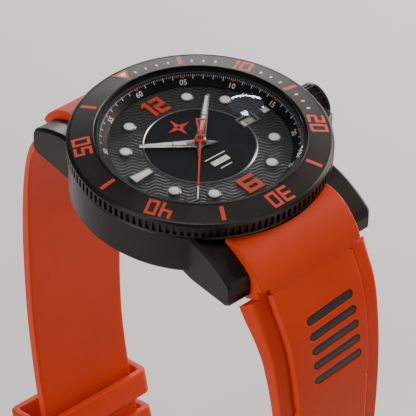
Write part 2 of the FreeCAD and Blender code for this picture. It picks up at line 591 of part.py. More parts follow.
def crownShape():
    body = xcyl(crownR, crownIn, crownOut, 0, crownZ)
    rims = [e for e in body.Edges if abs(e.BoundBox.XMax - e.BoundBox.XMin) < 1e-6]
    body = body.makeChamfer(0.35, rims)
    cuts = []
    for k in range(24):
        flute = Part.makeCylinder(0.36, 3.0, V(crownIn - 0.3, 0, crownR + 0.08), V(1, 0, 0))
        flute.rotate(V(0, 0, 0), V(1, 0, 0), 15 * k)
        cuts.append(moved(flute, 0, 0, crownZ))
    body = body.cut(group(cuts))
    body = body.cut(xcyl(1.95, crownIn - 1, 25.1, 0, crownZ))
    body = fuse([body, xcyl(1.2, 23.3, 25.2, 0, crownZ)])
    body = body.cut(xcyl(0.62, crownIn - 1, 24.65, 0, crownZ))
    dish = xcyl(2.6, crownOut - 0.15, crownOut + 1, 0, crownZ)
    return body.cut(dish)


save("crown", crownShape())

# ---------------------------------------------------------------- strap
edgePath = [(27.3, 2.4), (28.75, 0.0), (30.25, -2.5), (31.6, -5.7), (32.75, -10.0), (34.0, -18.0), (34.5, -27.0), (34.7, -35.0),
            (34.6, -43.0), (33.95, -52.0), (32.9, -60.0), (31.3, -68.0), (29.2, -76.0), (26.6, -84.0), (23.4, -92.0),
            (19.8, -99.5), (15.4, -107.0)]


def smooth(points, start=None, end=None):
    curve = Part.BSplineCurve()
    pts = [V(0, y, z) for y, z in points]
    if start is None:
        curve.interpolate(pts)
    else:
        curve.interpolate(Points=pts, InitialTangent=start, FinalTangent=end)
    return curve


def pathFrames(count):
    curve = smooth(edgePath)
    first = curve.FirstParameter
    last = curve.LastParameter
    out = []
    for i in range(count):
        u = first + (last - first) * i / (count - 1)
        p = curve.value(u)
        t = curve.tangent(u)[0]
        out.append((p, V(0, t.y, t.z), V(0, -t.z, t.y)))
    return out


frames = pathFrames(161)


def frameAtZ(z):
    best = min(frames, key=lambda f: abs(f[0].z - z))
    return best


def lugBlock(lead, rise, halfWide):
    # the part between the lugs: from round the spring bar to the blade's first section
    p, t, n = frames[0]
    outerEnd = p + n * rise
    innerStart = p - n * strapThick
    top = smooth(lead + [(outerEnd.y, outerEnd.z)], V(0, 1, 0), t).toShape()
    low = smooth([(innerStart.y, innerStart.z)] + trailInner, t * -1, V(0, -1, 0)).toShape()
    first = V(0, lead[0][0], lead[0][1])
    last = V(0, trailInner[-1][0], trailInner[-1][1])
    under = V(0, lead[0][0], 6.9)
    notch = V(0, 23.2, 5.5)
    wire = Part.Wire([top, Part.makeLine(outerEnd, innerStart), low, Part.makeLine(last, notch), Part.makeLine(notch, under),
                      Part.makeLine(under, first)])
    face = Part.Face(wire)
    face.translate(V(-halfWide, 0, 0))
    return face.extrude(V(2 * halfWide, 0, 0)).cut(cyl(caseR + headClear, -5, 14))


def widthSolid(points):
    # points run (half width, z) from the top down; mirrored about x = 0
    left = [V(-w, 0, z) for w, z in points[::-1]]
    wire = Part.makePolygon([V(w, 0, z) for w, z in points] + left + [V(points[0][0], 0, points[0][1])])
    return Part.Face(wire).extrude(V(0, 60, 0))


# half widths down the strap: z, outer face, back face, raised panel
widthTable = [(2.5, 12.0, 13.5, 8.35), (0.0, 12.0, 13.3, 8.25), (-2.8, 11.9, 12.9, 8.15), (-7.8, 11.5, 12.2, 7.95),
              (-14.0, 11.2, 11.6, 7.75), (-18.0, 11.0, 11.2, 7.65), (-27.0, 10.8, 10.85, 7.6), (-40.0, 10.3, 10.35, 7.3),
              (-55.0, 10.0, 10.02, 7.0), (-120.0, 10.0, 10.02, 7.0)]
leadPanel = [(18.4, 9.8), (20.5, 9.75), (21.9, 9.55), (22.9, 9.2), (24.2, 8.45), (25.5, 7.4), (26.7, 6.1), (27.6, 4.6)]
leadFlange = [(22.3, 7.6), (24.2, 6.9), (25.6, 5.7), (26.55, 4.2)]
headClear = 0.3
trailInner = [(24.4, 0.62), (23.2, 0.4)]
slotZ = (-3.4, -6.0, -8.55, -11.3, -14.2)


def widthsAt(z):
    for upper, lower in zip(widthTable, widthTable[1:]):
        if lower[0] <= z <= upper[0]:
            f = (upper[0] - z) / (upper[0] - lower[0])
            return [upper[i] + (lower[i] - upper[i]) * f for i in (1, 2, 3)]
    return list(widthTable[-1][1:])


def sectionWire(frame):
    p, t, n = frame
    outer, back, panel = widthsAt(p.z)
    top = panel - 0.22
    half = [(outer, 0.0), (panel, 0.0), (top, panelRise - 0.12), (top - 0.2, panelRise)]
    ring = [(back, -strapThick)] + half + [(-x, h) for x, h in half[::-1]] + [(-back, -strapThick)]
    pts = [V(x, 0, 0) + p + n * h for x, h in ring]
    return Part.makePolygon(pts + pts[:1])


def strapBlade(zEnd):
    wires = []
    for i, frame in enumerate(frames):
        if frame[0].z < zEnd - 1e-6:
            break
        if i % 6 == 0:
            wires.append(sectionWire(frame))
    last = frameAtZ(zEnd)
    wires.append(sectionWire(last))
    return Part.makeLoft(wires, True, False)


def roundedSlot(length, width, depth):
    r = width / 2
    half = length / 2 - r
    mid = Part.makeBox(2 * half, width, depth, V(-half, -r, 0))
    return fuse([mid, Part.makeCylinder(r, depth, V(-half, 0, 0)), Part.makeCylinder(r, depth, V(half, 0, 0))])


def onStrap(shape, frame, lift):
    p, t, n = frame
    out = shape.copy()
    origin = p + n * lift
    rotation = FreeCAD.Rotation(V(-1, 0, 0), t * -1, n, "XYZ")
    out.Placement = FreeCAD.Placement(origin, rotation).multiply(out.Placement)
    return out


def slotFrames():
    return [frameAtZ(z) for z in slotZ]


def leaning(slot):
    # the slots climb towards the crown side and sit a little off the middle
    out = slot.copy()
    out.rotate(V(0, 0, 0), V(0, 0, 1), -5.0)
    out.translate(V(-0.9, 0, 0))
    return out


def strapHalf(zEnd):
    panel = lugBlock(leadPanel, panelRise, 11.5)
    panel = panel.common(widthSolid([(10.85, 12.0), (10.85, 4.9), (8.3, 3.1), (8.1, -3.0)]))
    flange = lugBlock(leadFlange, 0.0, 10.85)
    body = fuse([strapBlade(zEnd), panel, flange, xcyl(strapEndR, -10.85, 10.85, barY, barZ)])
    body = body.cut(xcyl(barR + 0.05, -20, 20, barY, barZ))
    slots = []
    for f in slotFrames():
        slots.append(onStrap(leaning(roundedSlot(10.2, 1.55, 2.0)), f, panelRise - 0.5))
    return body.cut(group(slots))


def strapInlays():
    out = []
    for f in slotFrames():
        out.append(onStrap(leaning(roundedSlot(10.1, 1.45, 0.42)), f, panelRise - 0.49))
    return group(out)


holeZ = [-58.0 - 6.0 * k for k in range(7)]
tipZ = -106.0


def tailStrap():
    body = strapHalf(tipZ)
    end = frameAtZ(tipZ)
    corners = box(-15, 15, -4, 10, -8, 8).cut(Part.makeCylinder(10.02, 20, V(0, 10, -10)))
    body = body.cut(onStrap(corners, end, 0))
    holes = [onStrap(roundedSlot(3.0, 2.2, 8.0), frameAtZ(z), -4.0) for z in holeZ]
    return body.cut(group(holes))


buckleEndZ = -88.0
fixedKeeperZ = -80.5
keeperZ = -72.0
buckleFrame = frameAtZ(buckleEndZ)
buckleBarR = 0.75
strapMid = (panelRise - strapThick) / 2
barPoint = buckleFrame[0] + buckleFrame[2] * strapMid


def buckleStrap():
    body = strapHalf(buckleEndZ)
    endRound = onStrap(xcyl(1.65, -9.95, 9.95, 0, 0), buckleFrame, strapMid)
    body = fuse([body, endRound])
    body = body.cut(onStrap(xcyl(buckleBarR + 0.05, -20, 20, 0, 0), buckleFrame, strapMid))
    body = body.cut(onStrap(box(-2.0, 2.0, -4, 4.5, -5, 5), buckleFrame, strapMid))
    keeperAt = frameAtZ(fixedKeeperZ)
    loop = box(-12.6, 12.6, -2.6, 2.6, -strapThick - 1.2, panelRise + 5.3)
    loop = loop.cut(box(-10.6, 10.6, -4, 4, -strapThick + 0.3, panelRise + 3.8))
    web = box(-12.0, 12.0, -2.0, 2.0, -strapThick - 0.4, 0.0)
    body = fuse([body, onStrap(fuse([loop, web]), keeperAt, 0.0)])
    return body


def mirrorY(shape):
    return shape.mirror(V(0, 0, 0), V(0, 1, 0))


save("strap_12", buckleStrap())
save("strap_12_inlays", strapInlays())
save("strap_6", mirrorY(tailStrap()))
save("strap_6_inlays", mirrorY(strapInlays()))

bars = []
for end in (1, -1):
    bars.append(fuse([xcyl(barR, -10.9, 10.9, end * barY, barZ), xcyl(0.45, -12.7, 12.7, end * barY, barZ),
                      xcyl(0.62, -10.99, 10.99, end * barY, barZ)]))
save("spring_bars", group(bars))

slider = box(-12.7, 12.7, -2.5, 2.5, -strapThick - 2.0, panelRise + 5.4)
slider = slider.cut(box(-10.8, 10.8, -4, 4, -strapThick - 0.5, panelRise + 4.0))
sliderEdges = [e for e in slider.Edges if abs(e.BoundBox.YMax - e.BoundBox.YMin) > 4.9 and abs(abs(e.CenterOfMass.x) - 12.7) < 0.01]
slider = slider.makeFillet(1.2, sliderEdges)
save("keeper", onStrap(slider, frameAtZ(keeperZ), 0.0))


# ---------------------------------------------------------------- buckle
def buckleParts():
    # local axes: x across, y back up the strap, z outwards; bar at the origin
    outer = box(-12.6, 12.6, -14.0, 1.6, -1.3, 1.3)
    corner = [e for e in outer.Edges if abs(e.BoundBox.ZMax - e.BoundBox.ZMin) > 2.5 and e.CenterOfMass.y < -13]
    outer = outer.makeFillet(3.2, corner)
    window = box(-10.25, 10.25, -11.2, 5.0, -3, 3)
    frame = outer.cut(window)
    rimEdges = [e for e in frame.Edges if e.BoundBox.ZMin > 1.29 and e.CenterOfMass.y < -13.5]
    frame = frame.makeChamfer(0.5, rimEdges)
    frame = frame.cut(xcyl(buckleBarR + 0.03, -11.9, 11.9, 0, 0))
    notch = box(-1.5, 1.5, -15, -11, 0.75, 3)
    frame = frame.cut(notch)
    eye = xcyl(1.35, -1.6, 1.6, 0, 0)
    blade = box(-1.3, 1.3, -13.4, 0, 0.82, 1.75)
    tongue = fuse([eye, blade]).cut(xcyl(buckleBarR + 0.05, -5, 5, 0, 0))
    bar = xcyl(buckleBarR, -11.8, 11.8, 0, 0)
    hang = (barPoint, V(0, 0, -1), V(0, 1, 0))
    return [onStrap(s, hang, 0.0) for s in (frame, tongue, bar)]


frameShape, tongueShape, barShape = buckleParts()
save("buckle_frame", frameShape)
save("buckle_tang", tongueShape)
save("buckle_bar", barShape)
print("buckle bar", barPoint)
print("keeper", frameAtZ(keeperZ))
print("minute wheel", minuteWheelAt, "third", thirdAt, "escape", escapeAt, "pallet", palletAt, "barrel", barrelAt)
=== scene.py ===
import math

import bmesh
import bpy
from mathutils import Matrix, Vector


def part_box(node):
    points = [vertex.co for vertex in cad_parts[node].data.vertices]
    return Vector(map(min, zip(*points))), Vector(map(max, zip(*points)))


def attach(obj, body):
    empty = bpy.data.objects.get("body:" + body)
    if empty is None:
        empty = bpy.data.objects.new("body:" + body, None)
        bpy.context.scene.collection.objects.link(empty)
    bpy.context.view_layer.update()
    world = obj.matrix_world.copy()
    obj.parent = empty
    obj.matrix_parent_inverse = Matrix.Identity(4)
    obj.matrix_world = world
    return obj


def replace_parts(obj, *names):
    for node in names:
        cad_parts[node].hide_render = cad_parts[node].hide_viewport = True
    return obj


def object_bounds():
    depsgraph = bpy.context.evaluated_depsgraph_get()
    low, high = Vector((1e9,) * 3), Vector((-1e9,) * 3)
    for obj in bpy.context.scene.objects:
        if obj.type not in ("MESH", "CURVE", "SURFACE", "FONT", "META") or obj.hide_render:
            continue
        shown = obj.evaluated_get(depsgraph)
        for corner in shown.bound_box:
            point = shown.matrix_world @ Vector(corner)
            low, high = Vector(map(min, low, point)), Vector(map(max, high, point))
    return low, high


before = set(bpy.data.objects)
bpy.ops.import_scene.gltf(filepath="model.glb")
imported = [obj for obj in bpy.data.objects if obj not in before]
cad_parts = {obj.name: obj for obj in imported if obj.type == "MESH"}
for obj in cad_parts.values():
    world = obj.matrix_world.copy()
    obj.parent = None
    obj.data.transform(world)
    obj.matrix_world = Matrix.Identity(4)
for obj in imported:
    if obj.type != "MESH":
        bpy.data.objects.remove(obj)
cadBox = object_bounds()
mm = 0.001
dialZ = 11.0
print("frame loaded:", len(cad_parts), "nodes")


# ripples of the dial, read by the dial piece and by its lacquer
waves = {"inner": 9.5, "outer": 15.18, "radial": 60, "around": 720, "pitch": 0.76, "length": 3.5, "swing": 0.36,
         "height": 0.09, "turn": -36, "lift": 0.008, "windowX": (8.4, 12.12), "windowHalf": 1.31}


def linear(hexColour, alpha=1.0):
    out = []
    for i in (1, 3, 5):
        c = int(hexColour[i:i + 2], 16) / 255
        out.append(c / 12.92 if c <= 0.04045 else ((c + 0.055) / 1.055) ** 2.4)
    return (out[0], out[1], out[2], alpha)


def addNode(tree, kind, inputs=None, **settings):
    node = tree.nodes.new(kind)
    for key, value in settings.items():
        setattr(node, key, value)
    for key, value in (inputs or {}).items():
        if isinstance(value, bpy.types.NodeSocket):
            tree.links.new(value, node.inputs[key])
        else:
            node.inputs[key].default_value = value
    return node


def startMaterial(name):
    mat = bpy.data.materials.new(name)
    mat.use_nodes = True
    tree = mat.node_tree
    tree.nodes.clear()
    coords = addNode(tree, "ShaderNodeTexCoord").outputs["Object"]
    return mat, tree, coords


def finishMaterial(tree, shader):
    addNode(tree, "ShaderNodeOutputMaterial", {"Surface": shader})


def wornColour(tree, coords, colour, shade, patchMm, amount=0.5):
    # slow drift between two close shades, with patches of patchMm
    noise = addNode(tree, "ShaderNodeTexNoise", {"Vector": coords, "Scale": 1.0 / (patchMm * mm), "Detail": 4.0})
    ramp = addNode(tree, "ShaderNodeMapRange", {"Value": noise.outputs["Fac"], "From Min": 0.35, "From Max": 0.65,
                                                "To Min": 0.0, "To Max": amount})
    mix = addNode(tree, "ShaderNodeMix", {0: ramp.outputs["Result"], 6: linear(colour), 7: linear(shade)}, data_type="RGBA")
    return mix.outputs[2]


def grainSpan(tree, coords, grainMm, low, high, stretch=(1, 1, 1)):
    mapping = addNode(tree, "ShaderNodeMapping", {"Vector": coords, "Scale": stretch})
    noise = addNode(tree, "ShaderNodeTexNoise", {"Vector": mapping.outputs["Vector"], "Scale": 1.0 / (grainMm * mm),
                                                 "Detail": 3.0})
    span = addNode(tree, "ShaderNodeMapRange", {"Value": noise.outputs["Fac"], "From Min": 0.3, "From Max": 0.7,
                                                "To Min": low, "To Max": high})
    return noise.outputs["Fac"], span.outputs["Result"]


def coatedSteel(name, colour, shade, rough, grainMm, stretch, depthMm):
    # dark carbide coated steel, fine brushed before coating: short streaks that spread the gloss
    mat, tree, coords = startMaterial(name)
    height, roughness = grainSpan(tree, coords, grainMm, rough - 0.07, rough + 0.09, stretch)
    bump = addNode(tree, "ShaderNodeBump", {"Height": height, "Strength": 0.35, "Distance": depthMm * mm})
    shader = addNode(tree, "ShaderNodeBsdfPrincipled", {
        "Base Color": wornColour(tree, coords, colour, shade, 9.0), "Metallic": 1.0, "Roughness": roughness,
        "Normal": bump.outputs["Normal"]})
    finishMaterial(tree, shader.outputs["BSDF"])
    return mat


def turnedSteel(name, colour, shade, rough, pitchMm, depthMm):
    # lathe-turned or circular brushed metal: rings about Z
    mat, tree, coords = startMaterial(name)
    split = addNode(tree, "ShaderNodeSeparateXYZ", {0: coords})
    square = addNode(tree, "ShaderNodeMath", {0: split.outputs["X"], 1: split.outputs["X"]}, operation="MULTIPLY")
    total = addNode(tree, "ShaderNodeMath", {0: split.outputs["Y"], 1: split.outputs["Y"], 2: square.outputs[0]},
                    operation="MULTIPLY_ADD")
    radius = addNode(tree, "ShaderNodeMath", {0: total.outputs[0]}, operation="SQRT")
    ringNoise = addNode(tree, "ShaderNodeTexNoise", {"W": radius.outputs[0], "Scale": 1.0 / (pitchMm * mm), "Detail": 5.0},
                        noise_dimensions="1D")
    span = addNode(tree, "ShaderNodeMapRange", {"Value": ringNoise.outputs["Fac"], "From Min": 0.3, "From Max": 0.7,
                                                "To Min": rough - 0.08, "To Max": rough + 0.1})
    bump = addNode(tree, "ShaderNodeBump", {"Height": ringNoise.outputs["Fac"], "Strength": 0.4, "Distance": depthMm * mm})
    shader = addNode(tree, "ShaderNodeBsdfPrincipled", {
        "Base Color": wornColour(tree, coords, colour, shade, 7.0), "Metallic": 1.0, "Roughness": span.outputs["Result"],
        "Normal": bump.outputs["Normal"]})
    finishMaterial(tree, shader.outputs["BSDF"])
    return mat


def paint(name, colour, shade, rough, grainMm, depthMm, coat=0.0, metallic=0.0):
    # enamel, lacquer, moulded plastic or lume paste, by its grain and gloss
    mat, tree, coords = startMaterial(name)
    height, roughness = grainSpan(tree, coords, grainMm, rough - 0.05, rough + 0.05)
    bump = addNode(tree, "ShaderNodeBump", {"Height": height, "Strength": 0.4, "Distance": depthMm * mm})
    shader = addNode(tree, "ShaderNodeBsdfPrincipled", {
        "Base Color": wornColour(tree, coords, colour, shade, 3.0), "Metallic": metallic, "Roughness": roughness,
        "Coat Weight": coat, "Coat Roughness": 0.08, "Normal": bump.outputs["Normal"]})
    finishMaterial(tree, shader.outputs["BSDF"])
    return mat


def siliconeRubber(name, colour, shade, rough):
    # moulded silicone: dull bloom, faint orange peel from the mould
    mat, tree, coords = startMaterial(name)
    peel = addNode(tree, "ShaderNodeTexNoise", {"Vector": coords, "Scale": 1.0 / (0.9 * mm), "Detail": 3.0})
    fine = addNode(tree, "ShaderNodeTexNoise", {"Vector": coords, "Scale": 1.0 / (0.16 * mm), "Detail": 2.0})
    both = addNode(tree, "ShaderNodeMath", {0: peel.outputs["Fac"], 1: 0.5, 2: fine.outputs["Fac"]},
                   operation="MULTIPLY_ADD")
    bump = addNode(tree, "ShaderNodeBump", {"Height": both.outputs[0], "Strength": 0.28, "Distance": 0.03 * mm})
    span = addNode(tree, "ShaderNodeMapRange", {"Value": fine.outputs["Fac"], "From Min": 0.3, "From Max": 0.7,
                                                "To Min": rough - 0.06, "To Max": rough + 0.07})
    shader = addNode(tree, "ShaderNodeBsdfPrincipled", {
        "Base Color": wornColour(tree, coords, colour, shade, 14.0, 0.6), "Roughness": span.outputs["Result"], "IOR": 1.42,
        "Specular IOR Level": 0.3, "Sheen Weight": 0.04, "Sheen Roughness": 0.4, "Sheen Tint": linear("#ff7a4a"),
        "Normal": bump.outputs["Normal"]})
    finishMaterial(tree, shader.outputs["BSDF"])
    return mat


def clearSapphire(name, least):
    # flat coated sapphire: what is under it shows straight through, with a little gloss that grows at the rim
    mat, tree, coords = startMaterial(name)
    smudge = addNode(tree, "ShaderNodeTexNoise", {"Vector": coords, "Scale": 1.0 / (6.0 * mm), "Detail": 2.0})
    rough = addNode(tree, "ShaderNodeMapRange", {"Value": smudge.outputs["Fac"], "To Min": 0.0, "To Max": 0.03})
    clear = addNode(tree, "ShaderNodeBsdfTransparent", {"Color": (0.97, 0.98, 0.985, 1)})
    gloss = addNode(tree, "ShaderNodeBsdfGlossy", {"Color": (0.9, 0.93, 1, 1), "Roughness": rough.outputs["Result"]})
    facing = addNode(tree, "ShaderNodeLayerWeight", {"Blend": 0.5})
    steep = addNode(tree, "ShaderNodeMath", {0: facing.outputs["Facing"], 1: 5.0}, operation="POWER")
    share = addNode(tree, "ShaderNodeMapRange", {"Value": steep.outputs[0], "To Min": least, "To Max": 0.6})
    mix = addNode(tree, "ShaderNodeMixShader", {0: share.outputs["Result"], 1: clear.outputs[0], 2: gloss.outputs[0]})
    finishMaterial(tree, mix.outputs[0])
    return mat


def waveLacquer(name):
    # black lacquer over stamped ripples, with painted light and shade: crests painted paler and furrows painted darker,
    # as light would fall on them; same ripple as the dial mesh
    mat, tree, coords = startMaterial(name)
    aligned = addNode(tree, "ShaderNodeMapping", {"Vector": coords,
                                                  "Rotation": (0, 0, -math.radians(waves["turn"]))})
    split = addNode(tree, "ShaderNodeSeparateXYZ", {0: aligned.outputs["Vector"]})
    along = addNode(tree, "ShaderNodeMath", {0: split.outputs["X"], 1: 2 * math.pi / (waves["length"] * mm)},
                    operation="MULTIPLY")
    sway = addNode(tree, "ShaderNodeMath", {0: along.outputs[0]}, operation="SINE")
    shifted = addNode(tree, "ShaderNodeMath", {0: sway.outputs[0], 1: waves["swing"] * mm, 2: split.outputs["Y"]},
                      operation="MULTIPLY_ADD")
    phase = addNode(tree, "ShaderNodeMath", {0: shifted.outputs[0], 1: 2 * math.pi / (waves["pitch"] * mm)},
                    operation="MULTIPLY")
    paintedRippleLight = addNode(tree, "ShaderNodeMath", {0: phase.outputs[0]}, operation="COSINE")
    # painted highlight on the ripple crests and painted shade in the furrows
    share = addNode(tree, "ShaderNodeMapRange", {"Value": paintedRippleLight.outputs[0], "From Min": -0.7, "From Max": 0.9})
    tone = addNode(tree, "ShaderNodeMix", {0: share.outputs["Result"], 6: linear("#13100f"), 7: linear("#2c2724")},
                   data_type="RGBA")
    height, roughness = grainSpan(tree, coords, 0.12, 0.4, 0.52)
    bump = addNode(tree, "ShaderNodeBump", {"Height": height, "Strength": 0.2, "Distance": 0.004 * mm})
    shader = addNode(tree, "ShaderNodeBsdfPrincipled", {
        "Base Color": tone.outputs[2], "Metallic": 0.1, "Roughness": roughness, "Specular IOR Level": 0.4,
        "Coat Weight": 0.15, "Normal": bump.outputs["Normal"]})
    finishMaterial(tree, shader.outputs["BSDF"])
    return mat


def stripedMetal(name, colour, shade, pitchMm, rough):
    # bridges and rotor: straight polishing stripes a few millimetres wide
    mat, tree, coords = startMaterial(name)
    turn = addNode(tree, "ShaderNodeMapping", {"Vector": coords, "Rotation": (0, 0, 0.6)})
    # one stripe is pi times pitchMm wide
    wave = addNode(tree, "ShaderNodeTexWave", {"Vector": turn.outputs["Vector"],
                                               "Scale": 0.05 / (pitchMm * mm) * 6.283 / 3.1416,
                                               "Distortion": 0.0}, wave_profile="SAW")
    height, roughness = grainSpan(tree, coords, 0.12, rough - 0.06, rough + 0.08, (1, 6, 1))
    tone = addNode(tree, "ShaderNodeMix", {0: wave.outputs["Fac"], 6: linear(colour), 7: linear(shade)},
                   data_type="RGBA")
    bump = addNode(tree, "ShaderNodeBump", {"Height": wave.outputs["Fac"], "Strength": 0.4, "Distance": 0.05 * mm})
    shader = addNode(tree, "ShaderNodeBsdfPrincipled", {
        "Base Color": tone.outputs[2], "Metallic": 1.0, "Roughness": roughness, "Normal": bump.outputs["Normal"]})
    finishMaterial(tree, shader.outputs["BSDF"])
    return mat


def secondHandLacquer(name, whiteFromMm):
    # orange lacquer, with the tip of the needle dipped in white
    mat, tree, coords = startMaterial(name)
    centre = addNode(tree, "ShaderNodeMapping", {"Vector": coords, "Scale": (1, 1, 0)})
    radius = addNode(tree, "ShaderNodeVectorMath", {0: centre.outputs["Vector"]}, operation="LENGTH")
    tip = addNode(tree, "ShaderNodeMath", {0: radius.outputs["Value"], 1: whiteFromMm * mm}, operation="GREATER_THAN")
    orange = wornColour(tree, coords, "#e04206", "#ce3804", 1.5)
    tone = addNode(tree, "ShaderNodeMix", {0: tip.outputs[0], 6: orange, 7: linear("#f2f1ea")}, data_type="RGBA")
    height, roughness = grainSpan(tree, coords, 0.15, 0.25, 0.38)
    bump = addNode(tree, "ShaderNodeBump", {"Height": height, "Strength": 0.2, "Distance": 0.01 * mm})
    shader = addNode(tree, "ShaderNodeBsdfPrincipled", {
        "Base Color": tone.outputs[2], "Roughness": roughness, "Coat Weight": 0.5, "Normal": bump.outputs["Normal"]})
    finishMaterial(tree, shader.outputs["BSDF"])
    return mat


# mostly colour, shade, roughness, grain or pitch in mm and relief in mm
finishes = {
    # coated steel: near black, its brushing catches the light in soft streaks
    "caseSteel": coatedSteel("coatedCaseSteel", "#3a3633", "#2c2927", 0.36, 0.35, (1, 5, 1), 0.02),
    "bezelSteel": coatedSteel("coatedBezelSteel", "#3c3835", "#292624", 0.34, 0.25, (1, 1, 4), 0.02),
    "crownSteel": coatedSteel("coatedCrownSteel", "#3a3633", "#24211f", 0.32, 0.25, (4, 1, 1), 0.02),
    # circular brushing gives the bezel its wide soft fan of light
    "insert": turnedSteel("brushedInsert", "#35312f", "#252220", 0.44, 0.16, 0.012),
    # enamel and lume fills: flat, bright, barely glossy
    "inlayOrange": paint("orangeEnamel", "#cc3200", "#bb2a00", 0.55, 0.2, 0.01, 0.05),
    "lume": paint("lumePaste", "#f1f1ea", "#dddcd2", 0.6, 0.12, 0.02),
    # dial lacquers, from satin to gloss
    "dialBlack": paint("dialLacquer", "#231f1d", "#171412", 0.42, 0.1, 0.01, 0.2, 0.3),
    "waveBlack": waveLacquer("dialWaveLacquerPaintedShade"),
    "discGloss": paint("dialDiscLacquer", "#14100f", "#0d0b0a", 0.22, 3.0, 0.0001, 0.4),
    "rehautBlack": turnedSteel("rehautSatin", "#1d1a18", "#141110", 0.45, 0.12, 0.01),
    # polished and brushed trim: thin bright lines
    "trimSteel": turnedSteel("polishedTrim", "#b5b1ac", "#8d8984", 0.3, 0.1, 0.004),
    "handGrey": coatedSteel("brushedHandSteel", "#8f8b87", "#6d6966", 0.3, 0.08, (1, 1, 1), 0.006),
    "handOrange": secondHandLacquer("secondHandLacquer", 12.0),
    # clear glass; the value is the least gloss, seen straight on
    "sapphire": clearSapphire("flatSapphire", 0.012),
    "backGlass": clearSapphire("backMineralGlass", 0.035),
    "lens": clearSapphire("lensSapphire", 0.12),
    # rubbers: dull, with a moulded skin
    "strapOrange": siliconeRubber("strapSilicone", "#cc3600", "#bc2f00", 0.52),
    "strapBlack": paint("inlayRubber", "#1d1f24", "#141518", 0.42, 0.3, 0.03),
    "gasket": paint("nitrileRubber", "#1a1a1a", "#121212", 0.6, 0.3, 0.02),
    # movement: warm brass, striped plates, blued parts, glassy red jewels, dull plastic, plain steel
    "gilt": turnedSteel("giltBrass", "#d3a655", "#b58a3e", 0.28, 0.12, 0.006),
    "nickel": stripedMetal("stripedNickel", "#cfcdc8", "#a9a6a1", 1.6, 0.3),
    "rotorMetal": stripedMetal("stripedRotor", "#8d8a87", "#5e5b59", 1.8, 0.34),
    "blued": coatedSteel("bluedSteel", "#3c4f8a", "#26346a", 0.22, 0.1, (1, 1, 1), 0.003),
    "ruby": paint("ruby", "#c2183c", "#9a0f2c", 0.12, 1.0, 0.001, 0.8),
    "dateWhite": paint("dateWheelWhite", "#f0eee6", "#e2dfd4", 0.55, 0.2, 0.01),
    "casingGrey": paint("casingPlastic", "#77767a", "#68676b", 0.5, 0.4, 0.02),
    "steel": turnedSteel("plainSteel", "#c4c1bc", "#9f9c97", 0.27, 0.14, 0.005),
    # printing inks: flat, hardly raised
    "printWhite": paint("printedWhite", "#e6e5df", "#cfcec8", 0.5, 0.1, 0.004),
    "printRed": paint("printedRed", "#c4262e", "#a31c24", 0.5, 0.1, 0.004),
    "printBlack": paint("printedBlack", "#171614", "#0f0e0d", 0.5, 0.1, 0.004),
}
print("finishes made:", len(finishes))

nodeFinish = {
    "caseSteel": ["case_body", "back_ring"],
    "bezelSteel": ["bezel_ring", "buckle_frame", "buckle_tang"],
    "crownSteel": ["crown"],
    "insert": ["bezel_insert"],
    "inlayOrange": ["bezel_inlays", "numerals", "dial_star"],
    "lume": ["bezel_marks", "marker_lume", "hour_hand_lume", "minute_hand_lume"],
    "dialBlack": ["dial"],
    "discGloss": ["dial_disc"],
    "rehautBlack": ["rehaut"],
    "trimSteel": ["dial_trim", "marker_rims"],
    "handGrey": ["hour_hand", "minute_hand"],
    "handOrange": ["second_hand"],
    "sapphire": ["crystal"],
    "backGlass": ["back_glass"],
    "lens": ["cyclops"],
    "strapOrange": ["strap_12", "strap_6", "keeper"],
    "strapBlack": ["strap_12_inlays", "strap_6_inlays"],
    "gasket": ["crystal_gasket", "bezel_gasket"],
    "gilt": ["hour_wheel", "centre_wheel", "minute_wheel", "third_wheel", "fourth_wheel", "barrel", "balance_wheel"],
    "nickel": ["main_plate", "barrel_bridge", "train_bridge", "balance_cock"],
    "rotorMetal": ["rotor"],
    "blued": ["bridge_screws", "hairspring"],
    "ruby": ["jewels"],
    "dateWhite": ["date_wheel"],
    "casingGrey": ["casing_ring"],
    "steel": ["click_spring", "rotor_post", "crown_tube", "spring_bars", "cannon_pinion", "escape_wheel", "pallet_fork",
              "clutch", "stem", "buckle_bar"],
}
for finish, names in nodeFinish.items():
    for name in names:
        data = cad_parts[name].data
        data.materials.clear()
        data.materials.append(finishes[finish])
missing = set(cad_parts) - {n for names in nodeFinish.values() for n in names}
print("CAD nodes finished, left over:", sorted(missing))


def makePiece(bm, name, body, finish, smooth=None):
    mesh = bpy.data.meshes.new(name)
    bm.to_mesh(mesh)
    bm.free()
    obj = bpy.data.objects.new(name, mesh)
    bpy.context.scene.collection.objects.link(obj)
    mesh.materials.append(finishes[finish])
    if smooth is not None:
        mesh.shade_smooth()
        mesh.set_sharp_from_angle(angle=math.radians(smooth))
    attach(obj, body)
    return obj


def onClock(minute):
    return Matrix.Rotation(-math.radians(6 * minute), 4, "Z")


def wordMesh(word, height):
    curve = bpy.data.curves.new("word", "FONT")
    curve.body = word
    curve.size = height
    curve.align_x = "CENTER"
    curve.align_y = "CENTER"
    curve.extrude = 0.012 * mm
    obj = bpy.data.objects.new("word", curve)
    bpy.context.scene.collection.objects.link(obj)
    bpy.context.view_layer.update()
    mesh = bpy.data.meshes.new_from_object(obj.evaluated_get(bpy.context.evaluated_depsgraph_get()))
    bpy.data.objects.remove(obj)
    bpy.data.curves.remove(curve)
    return mesh


# dial waves: a turned ring whose surface rises and falls in long ripples along X
def waveHeight(x, y):
    c, d = math.cos(math.radians(waves["turn"])), math.sin(math.radians(waves["turn"]))
    x, y = c * x + d * y, c * y - d * x
    phase = 2 * math.pi * (y / mm + waves["swing"] * math.sin(2 * math.pi * x / mm / waves["length"])) / waves["pitch"]
    return 0.5 + 0.5 * math.cos(phase)


